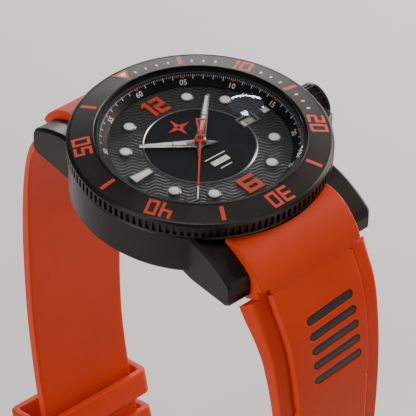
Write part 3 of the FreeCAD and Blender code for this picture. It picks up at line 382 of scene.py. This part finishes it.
bm = bmesh.new()
line = []
for i in range(waves["radial"] + 1):
    r = waves["inner"] + (waves["outer"] - waves["inner"]) * i / waves["radial"]
    line.append(bm.verts.new((r * mm, 0, dialZ * mm)))
edges = [bm.edges.new((a, b)) for a, b in zip(line, line[1:])]
bmesh.ops.spin(bm, geom=line + edges, cent=(0, 0, 0), axis=(0, 0, 1), angle=2 * math.pi, steps=waves["around"],
               use_merge=True)
bmesh.ops.remove_doubles(bm, verts=bm.verts, dist=0.001 * mm)
for v in bm.verts:
    v.co.z = (dialZ + waves["lift"] + waves["height"] * waveHeight(v.co.x, v.co.y)) * mm
low, high = waves["windowX"]
inWindow = [f for f in bm.faces if low * mm < f.calc_center_median().x < high * mm
            and abs(f.calc_center_median().y) < waves["windowHalf"] * mm]
bmesh.ops.delete(bm, geom=inWindow, context="FACES")
bmesh.ops.recalc_face_normals(bm, faces=bm.faces)
if sum(f.normal.z for f in bm.faces) < 0:
    bmesh.ops.reverse_faces(bm, faces=bm.faces)
makePiece(bm, "dialWaves", "case", "waveBlack", 60)
print("dial waves done")

# printed minute track on the sloping inner ring
track = {"slopeFoot": (15.2, 11.3), "slopeHead": (16.9, 12.68), "tickRadius": 16.42, "labelRadius": 15.66,
         "labelHeight": 1.3, "longTick": (0.12, 0.8, 0.02), "shortTick": (0.07, 0.42, 0.02), "shortShift": 0.18,
         "dotR": 0.3, "dotTopR": 0.26, "dotThick": 0.03, "dotShift": 0.05}
run = track["slopeHead"][0] - track["slopeFoot"][0]
rise = track["slopeHead"][1] - track["slopeFoot"][1]
slopeAngle = math.atan2(rise, run)


def onSlope(radius, minute, lift=0.012):
    z = track["slopeFoot"][1] + (radius - track["slopeFoot"][0]) * rise / run
    place = Matrix.Translation((0, radius * mm, (z + lift) * mm))
    return onClock(minute) @ place @ Matrix.Rotation(slopeAngle, 4, "X")


bm = bmesh.new()
for k in range(300):
    if k % 25 == 0:
        continue
    long = k % 5 == 0
    size = track["longTick" if long else "shortTick"]
    scale = Matrix.Diagonal((size[0] * mm, size[1] * mm, size[2] * mm, 1))
    radius = track["tickRadius"] + (0.0 if long else track["shortShift"])
    bmesh.ops.create_cube(bm, size=1, matrix=onSlope(radius, k / 5) @ scale)
for k in range(12):
    mesh = wordMesh("%02d" % ((k * 5) or 60), track["labelHeight"] * mm)
    mesh.transform(onSlope(track["labelRadius"], 5 * k))
    bm.from_mesh(mesh)
makePiece(bm, "minuteTrack", "case", "printWhite")
bm = bmesh.new()
for k in range(12):
    bmesh.ops.create_cone(bm, cap_ends=True, segments=20, radius1=track["dotR"] * mm, radius2=track["dotTopR"] * mm,
                          depth=track["dotThick"] * mm, matrix=onSlope(track["tickRadius"] + track["dotShift"], 5 * k, 0.02))
makePiece(bm, "minuteTrackDots", "case", "printRed")
print("minute track done")

# three plain bars low on the disc
bars = {"rows": ((-3.7, 4.2, 0.22), (-5.1, 3.4, 1.15), (-6.6, 2.4, 0.22)), "thick": 0.03, "lift": 0.135}
bm = bmesh.new()
for y, width, height in bars["rows"]:
    scale = Matrix.Diagonal((width * mm, height * mm, bars["thick"] * mm, 1))
    bmesh.ops.create_cube(bm, size=1, matrix=Matrix.Translation((0, y * mm, (dialZ + bars["lift"]) * mm)) @ scale)
makePiece(bm, "dialBars", "case", "printWhite")

# figures printed on the date wheel
dates = {"count": 31, "height": 1.7, "radius": 10.3, "level": 10.415}
bm = bmesh.new()
for k in range(dates["count"]):
    mesh = wordMesh(str(k + 1), dates["height"] * mm)
    turn = Matrix.Rotation(2 * math.pi * k / dates["count"], 4, "Z")
    mesh.transform(turn @ Matrix.Translation((dates["radius"] * mm, 0, dates["level"] * mm)))
    bm.from_mesh(mesh)
makePiece(bm, "dateFigures", "date", "printBlack")
# enamel border round the lume triangle at the bezel's zero
pip = {"wide": 3.0, "tall": 2.75, "border": 0.4, "thick": 0.04, "insertInner": 17.76, "slope": 0.184}
bm = bmesh.new()
bmesh.ops.create_circle(bm, cap_ends=True, segments=3, radius=1.0,
                        matrix=Matrix.Diagonal((pip["wide"] / math.sqrt(3) * mm, -pip["tall"] / 1.5 * mm, 1, 1)))
ringFaces = bmesh.ops.inset_individual(bm, faces=list(bm.faces), thickness=pip["border"] * mm,
                                       use_even_offset=True)["faces"]
bmesh.ops.delete(bm, geom=[f for f in bm.faces if f not in ringFaces], context="FACES")
made = bmesh.ops.extrude_face_region(bm, geom=list(bm.faces))["geom"]
bmesh.ops.translate(bm, verts=[g for g in made if isinstance(g, bmesh.types.BMVert)],
                    vec=(0, 0, pip["thick"] * mm))
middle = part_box("bezel_marks")[1][1] - pip["tall"] / 3 * mm
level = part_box("bezel_insert")[1][2] - (middle - pip["insertInner"] * mm) * pip["slope"] + 0.01 * mm
place = Matrix.Translation((0, middle, level)) @ Matrix.Rotation(-math.atan(pip["slope"]), 4, "X")
bmesh.ops.transform(bm, matrix=place, verts=bm.verts)
bmesh.ops.recalc_face_normals(bm, faces=bm.faces)
makePiece(bm, "zeroBorder", "bezel", "inlayOrange")

# dark cap on the second hand's hub
cap = {"footR": 0.5, "topR": 0.42, "thick": 0.06}
bm = bmesh.new()
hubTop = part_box("second_hand")[1][2]
bmesh.ops.create_cone(bm, cap_ends=True, segments=24, radius1=cap["footR"] * mm, radius2=cap["topR"] * mm,
                      depth=cap["thick"] * mm, matrix=Matrix.Translation((0, 0, hubTop + cap["thick"] / 2 * mm)))
makePiece(bm, "handCap", "seconds", "printBlack", 30)
print("prints done")

# strap: sections swept down one smooth path, each from its back face, flange face and raised panel
strapPath = [(27.3, 2.4), (28.75, 0.0), (30.25, -2.5), (31.6, -5.7), (32.75, -10.0), (34.0, -18.0), (34.5, -27.0),
             (34.7, -35.0), (34.6, -43.0), (33.95, -52.0), (32.9, -60.0), (31.3, -68.0), (29.2, -76.0), (26.6, -84.0),
             (23.4, -92.0), (19.8, -99.5), (15.4, -107.0)]
# widths: height, then half-widths of the flange, of the back and of the raised panel
# head lists: the panel's top line, the back line, the drop from panel to flange and the panel's half-width
strap = {"thick": 2.0, "rise": 1.1, "lowRise": 0.86, "creaseZ": -19.0, "creaseRun": 0.12, "headHalf": 10.85,
         "barY": 23.2, "barZ": 3.6, "barHoleR": 0.95, "endR": 21.9,
         "slotZ": (-3.4, -6.0, -8.55, -11.3, -14.2), "slotLong": 10.2, "slotWide": 1.55, "slotDeep": 0.5,
         "slotLean": 5.0, "slotShift": 1.0, "slotMouth": ((0.32, 0.0), (0.47, 0.06), (0.6, 0.2), (1.4, 0.5)),
         "inlayGap": 0.16, "inlayEdge": ((0.3, 0.0), (0.37, -0.06), (0.4, -0.16), (0.42, -0.3)),
         "widths": ((2.5, 12.0, 13.5, 8.35), (0.0, 12.0, 13.3, 8.25), (-2.8, 11.9, 12.9, 8.15),
                    (-7.8, 11.5, 12.2, 7.95), (-14.0, 11.2, 11.6, 7.75), (-18.0, 11.0, 11.2, 7.65),
                    (-27.0, 10.8, 10.85, 7.6), (-40.0, 10.3, 10.35, 7.3), (-55.0, 10.0, 10.02, 7.0),
                    (-120.0, 10.0, 10.02, 7.0)),
         "headTop": ((18.4, 9.8), (19.3, 9.79), (20.1, 9.77), (20.9, 9.72), (21.9, 9.55), (22.9, 9.2), (24.2, 8.45),
                     (25.5, 7.4), (26.7, 6.1), (27.25, 5.25), (27.6, 4.6), (27.77, 4.2), (27.82, 4.07),
                     (27.96, 3.72), (28.1, 3.35)),
         "headBack": ((18.4, 6.9), (19.2, 5.3), (20.0, 3.6), (20.6, 1.9), (21.4, 1.0), (22.2, 0.58), (23.2, 0.4),
                      (23.8, 0.48), (24.35, 0.62), (24.75, 0.79), (25.0, 0.93), (25.12, 1.01), (25.17, 1.05),
                      (25.3, 1.14), (25.42, 1.23)),
         "headDrop": (0.4,) * 7 + (0.45, 0.6, 0.8, 0.95, 1.0, 1.03, 1.07, 1.1),
         "headPanel": (10.85,) * 12 + (9.6, 8.85, 8.45),
         "tipZ": -106.0, "tipR": 10.0, "tipFall": 0.87, "tipStop": 0.2, "buckleStop": 1.7,
         "holeZ": tuple(-58.0 - 6.0 * k for k in range(7)), "holeSize": (3.0, 2.2, 5.5),
         "holeFloor": -3.2, "holeMouth": ((0.18, 0.0), (0.7, 0.0), (0.76, 0.1), (1.0, 0.5)),
         "buckleZ": -87.75, "buckleHoleR": 0.8, "buckleMid": -0.45, "tangSlot": (4.0, 8.5, 10.0), "tangShift": 0.25,
         "keeperZ": -72.0, "fixedKeeperZ": -80.5}


def smoothPath(points, steps):
    # a bezier through the points with automatic handles, read back as evenly divided points
    curve = bpy.data.curves.new("path", "CURVE")
    curve.dimensions = "3D"
    spline = curve.splines.new("BEZIER")
    spline.bezier_points.add(len(points) - 1)
    for point, (y, z) in zip(spline.bezier_points, points):
        point.co = (0, y, z)
        point.handle_left_type = point.handle_right_type = "AUTO"
    spline.resolution_u = steps
    obj = bpy.data.objects.new("path", curve)
    bpy.context.scene.collection.objects.link(obj)
    bpy.context.view_layer.update()
    mesh = bpy.data.meshes.new_from_object(obj.evaluated_get(bpy.context.evaluated_depsgraph_get()))
    out = [v.co.copy() for v in mesh.vertices]
    bpy.data.objects.remove(obj)
    bpy.data.curves.remove(curve)
    return out


pathPoints = smoothPath(strapPath, 6)
pathFrames = []
for i, p in enumerate(pathPoints):
    t = (pathPoints[min(i + 1, len(pathPoints) - 1)] - pathPoints[max(i - 1, 0)]).normalized()
    pathFrames.append((p, t, Vector((0, -t.z, t.y))))


def frameAt(z):
    for (pa, ta, na), (pb, tb, nb) in zip(pathFrames, pathFrames[1:]):
        if pb.z <= z <= pa.z:
            f = (pa.z - z) / (pa.z - pb.z)
            return pa.lerp(pb, f), ta.lerp(tb, f).normalized(), na.lerp(nb, f).normalized()
    return pathFrames[-1]


def widthsAt(z):
    for upper, lower in zip(strap["widths"], strap["widths"][1:]):
        if lower[0] <= z <= upper[0]:
            f = (upper[0] - z) / (upper[0] - lower[0])
            return [upper[i] + (lower[i] - upper[i]) * f for i in (1, 2, 3)]
    return list(strap["widths"][0][1:])


def sectionRing(bm, panelAt, flangeAt, backAt, outer, back, panel):
    # half profile from the middle of the panel round to the middle of the back: across, then a height
    # where 0 is the back face, 1 the flange and 2 the top of the panel
    half = [(0, 2.05), (panel * 0.5, 2.035), (panel - 0.85, 2.0), (panel - 0.45, 1.94), (panel - 0.24, 1.7),
            (panel - 0.08, 1.15),
            (panel + 0.0, 0.84), (panel + 0.22, 0.82), (panel + 0.42, 0.95), (panel + 0.62, 1.0), (outer - 0.5, 1.0),
            (outer - 0.14, 0.975), (outer + (back - outer) * 0.12, 0.88), (outer + (back - outer) * 0.8, 0.2),
            (back - 0.03, 0.08), (back - 0.22, 0.01), (back - 0.8, 0.0), (back * 0.5, 0.0), (0, 0.0)]
    if panel > outer - 1.2:
        # between the lugs the panel fills the whole width and has no flange beside it
        half[2:6] = [(outer - 0.35, 2.02), (outer - 0.14, 1.98), (outer - 0.03, 1.85), (outer, 1.6)]
        half[6:12] = [(outer, 0.96 - 0.01 * k) for k in range(6)]
    coords = [(x, h) for x, h in half] + [(-x, h) for x, h in half[-2:0:-1]]
    ring = []
    for x, h in coords:
        where = backAt.lerp(flangeAt, h) if h <= 1 else flangeAt.lerp(panelAt, h - 1)
        ring.append(bm.verts.new((x * mm, where.y * mm, where.z * mm)))
    return [bm.edges.new((a, b)) for a, b in zip(ring, ring[1:] + ring[:1])]


def strapSections(bm, endZ, roundTip):
    rings = []
    centre = Vector((0, strap["barY"], strap["barZ"]))
    half = strap["headHalf"]
    for top, low, drop, panel in zip(strap["headTop"], strap["headBack"], strap["headDrop"], strap["headPanel"]):
        up = Vector((0,) + top)
        rings.append(sectionRing(bm, up, up - (up - centre).normalized() * drop, Vector((0,) + low), half, half, panel))
    first = True
    lastRise = strap["rise"]
    for p, t, n in pathFrames:
        if p.z < endZ + strap["tipStop" if roundTip else "buckleStop"]:
            break
        outer, back, panel = widthsAt(p.z)
        rise = strap["rise"] if p.z > strap["creaseZ"] else strap["lowRise"]
        if first:
            before = p - t * 0.03
            rings.append(sectionRing(bm, before + n * rise, before, before - n * strap["thick"], half, half, panel))
            first = False
        if rise != lastRise:
            # the panel steps down here
            edge = frameAt(strap["creaseZ"])
            for slip, level in ((0.0, lastRise), (strap["creaseRun"], rise)):
                q = edge[0] + edge[1] * slip
                rings.append(sectionRing(bm, q + edge[2] * level, q, q - edge[2] * strap["thick"], outer, back, panel))
            lastRise = rise
        if roundTip:
            short = min(max((p.z - endZ) / strap["tipFall"], 0.05), strap["tipR"])
            cut = math.sqrt(strap["tipR"] ** 2 - (strap["tipR"] - short) ** 2) / strap["tipR"]
            outer, back, panel = outer * cut, back * cut, max(outer * cut - 3.0 * cut, 0.9)
        rings.append(sectionRing(bm, p + n * rise, p, p - n * strap["thick"], outer, back, panel))
    return rings


def cutWith(obj, cutter):
    mod = obj.modifiers.new("cut", "BOOLEAN")
    mod.operation = "DIFFERENCE"
    mod.solver = "EXACT"
    mod.object = cutter
    bpy.context.view_layer.update()
    mesh = bpy.data.meshes.new_from_object(obj.evaluated_get(bpy.context.evaluated_depsgraph_get()))
    obj.modifiers.clear()
    old = obj.data
    obj.data = mesh
    bpy.data.meshes.remove(old)
    bpy.data.objects.remove(cutter)


def onStrap(frameHere, lift):
    p, t, n = frameHere
    place = Matrix((Vector((-1, 0, 0)), -t, n)).transposed().to_4x4()
    return Matrix.Translation((p + n * lift) * mm) @ place


def slotPlace(z, lift):
    place = onStrap(frameAt(z), strap["rise"] - strap["slotDeep"] + lift)
    lean = Matrix.Rotation(-math.radians(strap["slotLean"]), 4, "Z")
    return place @ Matrix.Translation((-strap["slotShift"] * mm, 0, 0)) @ lean


def slotShape(bm, place, length, width, depth, flare):
    # a round-ended bar, widened at its mouth; built up from one outline by extruding and scaling
    r = width / 2
    before = set(bm.verts)
    bmesh.ops.create_circle(bm, cap_ends=True, segments=28, radius=r * mm)
    new = [v for v in bm.verts if v not in before]
    for v in new:
        v.co.x += (length / 2 - r) * mm * (1 if v.co.x > 1e-9 else -1)
    face = next(f for f in bm.faces if all(v in new for v in f.verts))
    for height, grow in flare:
        made = bmesh.ops.extrude_face_region(bm, geom=[face])["geom"]
        verts = [g for g in made if isinstance(g, bmesh.types.BMVert)]
        old = face
        face = next(g for g in made if isinstance(g, bmesh.types.BMFace))
        if old.is_valid and flare.index((height, grow)) > 0:
            bm.faces.remove(old)
        level = height * depth * mm - verts[0].co.z
        for v in verts:
            away = Vector((v.co.x - math.copysign((length / 2 - r) * mm, v.co.x), v.co.y, 0)).normalized()
            v.co += away * grow * mm
            v.co.z += level
    whole = [v for v in bm.verts if v not in before]
    bmesh.ops.transform(bm, matrix=place, verts=whole)
    return whole


def helperObject(bm):
    bmesh.ops.recalc_face_normals(bm, faces=bm.faces)
    mesh = bpy.data.meshes.new("helper")
    bm.to_mesh(mesh)
    bm.free()
    obj = bpy.data.objects.new("helper", mesh)
    bpy.context.scene.collection.objects.link(obj)
    return obj


def rod(bm, place, radius, sides):
    # longer than anything it cuts
    bmesh.ops.create_cone(bm, cap_ends=True, segments=sides, radius1=radius * mm, radius2=radius * mm, depth=30 * mm,
                          matrix=place)


def makeStrap(name, body, side, endZ, roundTip):
    bm = bmesh.new()
    rings = strapSections(bm, endZ, roundTip)
    for a, b in zip(rings, rings[1:]):
        bmesh.ops.bridge_loops(bm, edges=a + b)
    bmesh.ops.holes_fill(bm, edges=[e for e in bm.edges if len(e.link_faces) == 1], sides=0)
    bmesh.ops.recalc_face_normals(bm, faces=bm.faces)
    cutter = bmesh.new()
    for z in strap["slotZ"]:
        slotShape(cutter, slotPlace(z, 0), strap["slotLong"], strap["slotWide"], 1.0, strap["slotMouth"])
    lying = Matrix.Rotation(math.pi / 2, 4, "Y")
    rod(cutter, Matrix.Translation((0, strap["barY"] * mm, strap["barZ"] * mm)) @ lying, strap["barHoleR"], 32)
    # the end is hollowed to sit round the case
    rod(cutter, Matrix.Identity(4), strap["endR"], 160)
    if roundTip:
        for z in strap["holeZ"]:
            slotShape(cutter, onStrap(frameAt(z), strap["holeFloor"]), *strap["holeSize"], strap["holeMouth"])
    else:
        place = onStrap(frameAt(strap["buckleZ"]), strap["buckleMid"])
        rod(cutter, place @ lying, strap["buckleHoleR"], 32)
        wide, long, deep = strap["tangSlot"]
        shift = Matrix.Translation((0, strap["tangShift"] * mm, 0))
        bmesh.ops.create_cube(cutter, size=1, matrix=place @ shift @ Matrix.Diagonal((wide * mm, long * mm, deep * mm, 1)))
    if side < 0:
        flip = Matrix.Diagonal((1, -1, 1, 1))
        bmesh.ops.transform(bm, matrix=flip, verts=bm.verts)
        bmesh.ops.transform(cutter, matrix=flip, verts=cutter.verts)
        bmesh.ops.recalc_face_normals(bm, faces=bm.faces)
    obj = makePiece(bm, name, body, "strapOrange")
    cutWith(obj, helperObject(cutter))
    obj.data.shade_smooth()
    obj.data.set_sharp_from_angle(angle=math.radians(38))
    even = obj.modifiers.new("even", "WEIGHTED_NORMAL")
    even.keep_sharp = True
    even.weight = 80
    return obj


halves = (("strapBuckleHalf", "strap_12", 1, strap["buckleZ"] - 0.4, False),
          ("strapTailHalf", "strap_6", -1, strap["tipZ"], True))
for name, body, side, endZ, roundTip in halves:
    piece = makeStrap(name, body, side, endZ, roundTip)
    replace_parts(piece, body)
    bm = bmesh.new()
    for z in strap["slotZ"]:
        slotShape(bm, slotPlace(z, 0.01), strap["slotLong"] - strap["inlayGap"], strap["slotWide"] - strap["inlayGap"], 1.0,
                  strap["inlayEdge"])
    if side < 0:
        bmesh.ops.transform(bm, matrix=Matrix.Diagonal((1, -1, 1, 1)), verts=bm.verts)
    bmesh.ops.recalc_face_normals(bm, faces=bm.faces)
    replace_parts(makePiece(bm, name + "Inlays", body, "strapBlack", 50), body + "_inlays")
print("strap halves done")


def loopPiece(bm, place, halfWide, low, high, wall, length, corner):
    # a closed band: two rounded outlines bridged into a ring, then drawn out along the strap
    loops = []
    for inset in (0.0, wall):
        before = set(bm.verts)
        bmesh.ops.create_grid(bm, x_segments=1, y_segments=1, size=1)
        quad = [v for v in bm.verts if v not in before]
        for v in quad:
            v.co.x = math.copysign((halfWide - inset) * mm, v.co.x)
            v.co.y = ((high - inset) if v.co.y > 0 else (low + inset)) * mm
        bmesh.ops.bevel(bm, geom=quad, offset=max(corner - inset, 0.25) * mm, segments=6, profile=0.5,
                        affect="VERTICES", material=-1)
        face = next(f for f in bm.faces if set(f.verts) <= {v for v in bm.verts if v not in before})
        edges = list(face.edges)
        bm.faces.remove(face)
        loops.append(edges)
    ringFaces = bmesh.ops.bridge_loops(bm, edges=loops[0] + loops[1])["faces"]
    made = bmesh.ops.extrude_face_region(bm, geom=ringFaces)["geom"]
    bmesh.ops.translate(bm, verts=[g for g in made if isinstance(g, bmesh.types.BMVert)], vec=(0, 0, length * mm))
    bmesh.ops.translate(bm, verts=bm.verts, vec=(0, 0, -length / 2 * mm))
    bmesh.ops.recalc_face_normals(bm, faces=bm.faces)
    rims = [e for e in bm.edges if abs(e.verts[0].co.z - e.verts[1].co.z) < 1e-9
            and len(e.link_faces) == 2 and e.calc_face_angle(0) > 1.2]
    bmesh.ops.bevel(bm, geom=rims, offset=0.3 * mm, segments=3, profile=0.5, affect="EDGES", material=-1)
    # stand the band across the strap: its length runs down the strap
    turn = Matrix(((1, 0, 0, 0), (0, 0, 1, 0), (0, 1, 0, 0), (0, 0, 0, 1)))
    bmesh.ops.transform(bm, matrix=place @ turn, verts=bm.verts)
    bmesh.ops.recalc_face_normals(bm, faces=bm.faces)


# half-width, low and high faces, wall, length along the strap, corner radius
keeperSizes = {"slide": (12.7, -4.0, 6.5, 1.5, 5.0, 1.6), "fixed": (12.6, -3.2, 6.4, 1.6, 5.2, 1.3)}
bm = bmesh.new()
loopPiece(bm, onStrap(frameAt(strap["keeperZ"]), 0), *keeperSizes["slide"])
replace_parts(makePiece(bm, "slidingKeeper", "keeper", "strapOrange", 40), "keeper")
bm = bmesh.new()
loopPiece(bm, onStrap(frameAt(strap["fixedKeeperZ"]), 0), *keeperSizes["fixed"])
makePiece(bm, "fixedKeeper", "strap_12", "strapOrange", 40)
print("keepers done")

# studio: pale floor, soft lights, camera
floorZ = cadBox[0][2] - 0.0006
bm = bmesh.new()
bmesh.ops.create_grid(bm, x_segments=2, y_segments=2, size=3.0, matrix=Matrix.Translation((0, 0, floorZ)))
mesh = bpy.data.meshes.new("floor")
bm.to_mesh(mesh)
bm.free()
floor = bpy.data.objects.new("floor", mesh)
bpy.context.scene.collection.objects.link(floor)
mat, tree, coords = startMaterial("paleFloor")
floorTone = wornColour(tree, coords, "#d9d8d6", "#d3d2d0", 300.0)
shader = addNode(tree, "ShaderNodeBsdfPrincipled", {"Base Color": floorTone, "Roughness": 0.7})
finishMaterial(tree, shader.outputs["BSDF"])
mesh.materials.append(mat)

world = bpy.data.worlds.new("studio")
bpy.context.scene.world = world
world.use_nodes = True
world.node_tree.nodes["Background"].inputs["Color"].default_value = linear("#dfe3ea")
world.node_tree.nodes["Background"].inputs["Strength"].default_value = 0.2


def areaLight(name, place, target, size, power, colour):
    data = bpy.data.lights.new(name, "AREA")
    data.shape = "RECTANGLE"
    data.size, data.size_y = size
    data.energy = power
    data.color = linear(colour)[:3]
    obj = bpy.data.objects.new(name, data)
    bpy.context.scene.collection.objects.link(obj)
    aim = Vector(target) - Vector(place)
    obj.matrix_world = Matrix.Translation(place) @ aim.to_track_quat("-Z", "Y").to_matrix().to_4x4()


# where each light stands, what it faces and its sides, in metres, then watts and colour
lights = {"keyLight": ((0.6, -0.02, 0.24), (0, 0, 0), (0.3, 0.35), 6.0, "#fff4ee"),
          "topLight": ((0.05, 0.1, 0.62), (0, 0, 0), (0.16, 0.12), 0.9, "#ffffff"),
          "rimLight": ((0.4, 0.46, 0.12), (0, 0, 0), (0.4, 0.1), 2.2, "#ffffff"),
          "sideLight": ((-0.62, 0.0, 0.1), (0, 0, -0.01), (0.2, 0.4), 3.0, "#f6f4ff"),
          "fillLight": ((0.05, -0.7, 0.3), (0, 0, -0.03), (0.6, 0.4), 1.3, "#fff4ec")}
for name, values in lights.items():
    areaLight(name, *values)

# angles in degrees, distances in mm; focal and frame share a unit
view = {"focal": 3041.463, "frame": 416, "azimuth": -41.835, "elevation": 41.361, "roll": 1.989, "distance": 498.65,
        "across": 1.286, "up": -10.27}
az = math.radians(view["azimuth"])
el = math.radians(view["elevation"])
roll = math.radians(view["roll"])
back = Vector((math.sin(az) * math.cos(el), -math.cos(az) * math.cos(el), math.sin(el)))
right = Vector((math.cos(az), math.sin(az), 0))
up = back.cross(right)
right, up = math.cos(roll) * right + math.sin(roll) * up, -math.sin(roll) * right + math.cos(roll) * up
camData = bpy.data.cameras.new("camera")
camData.sensor_width = 36.0
camData.lens = view["focal"] * camData.sensor_width / view["frame"]
camData.clip_start = 0.01
camera = bpy.data.objects.new("camera", camData)
bpy.context.scene.collection.objects.link(camera)
eye = (back * view["distance"] + right * view["across"] + up * view["up"]) * mm + Vector((0, 0, dialZ * mm))
turn = Matrix((right, up, back)).transposed().to_4x4()
camera.matrix_world = Matrix.Translation(eye) @ turn
bpy.context.scene.camera = camera
print("studio set")
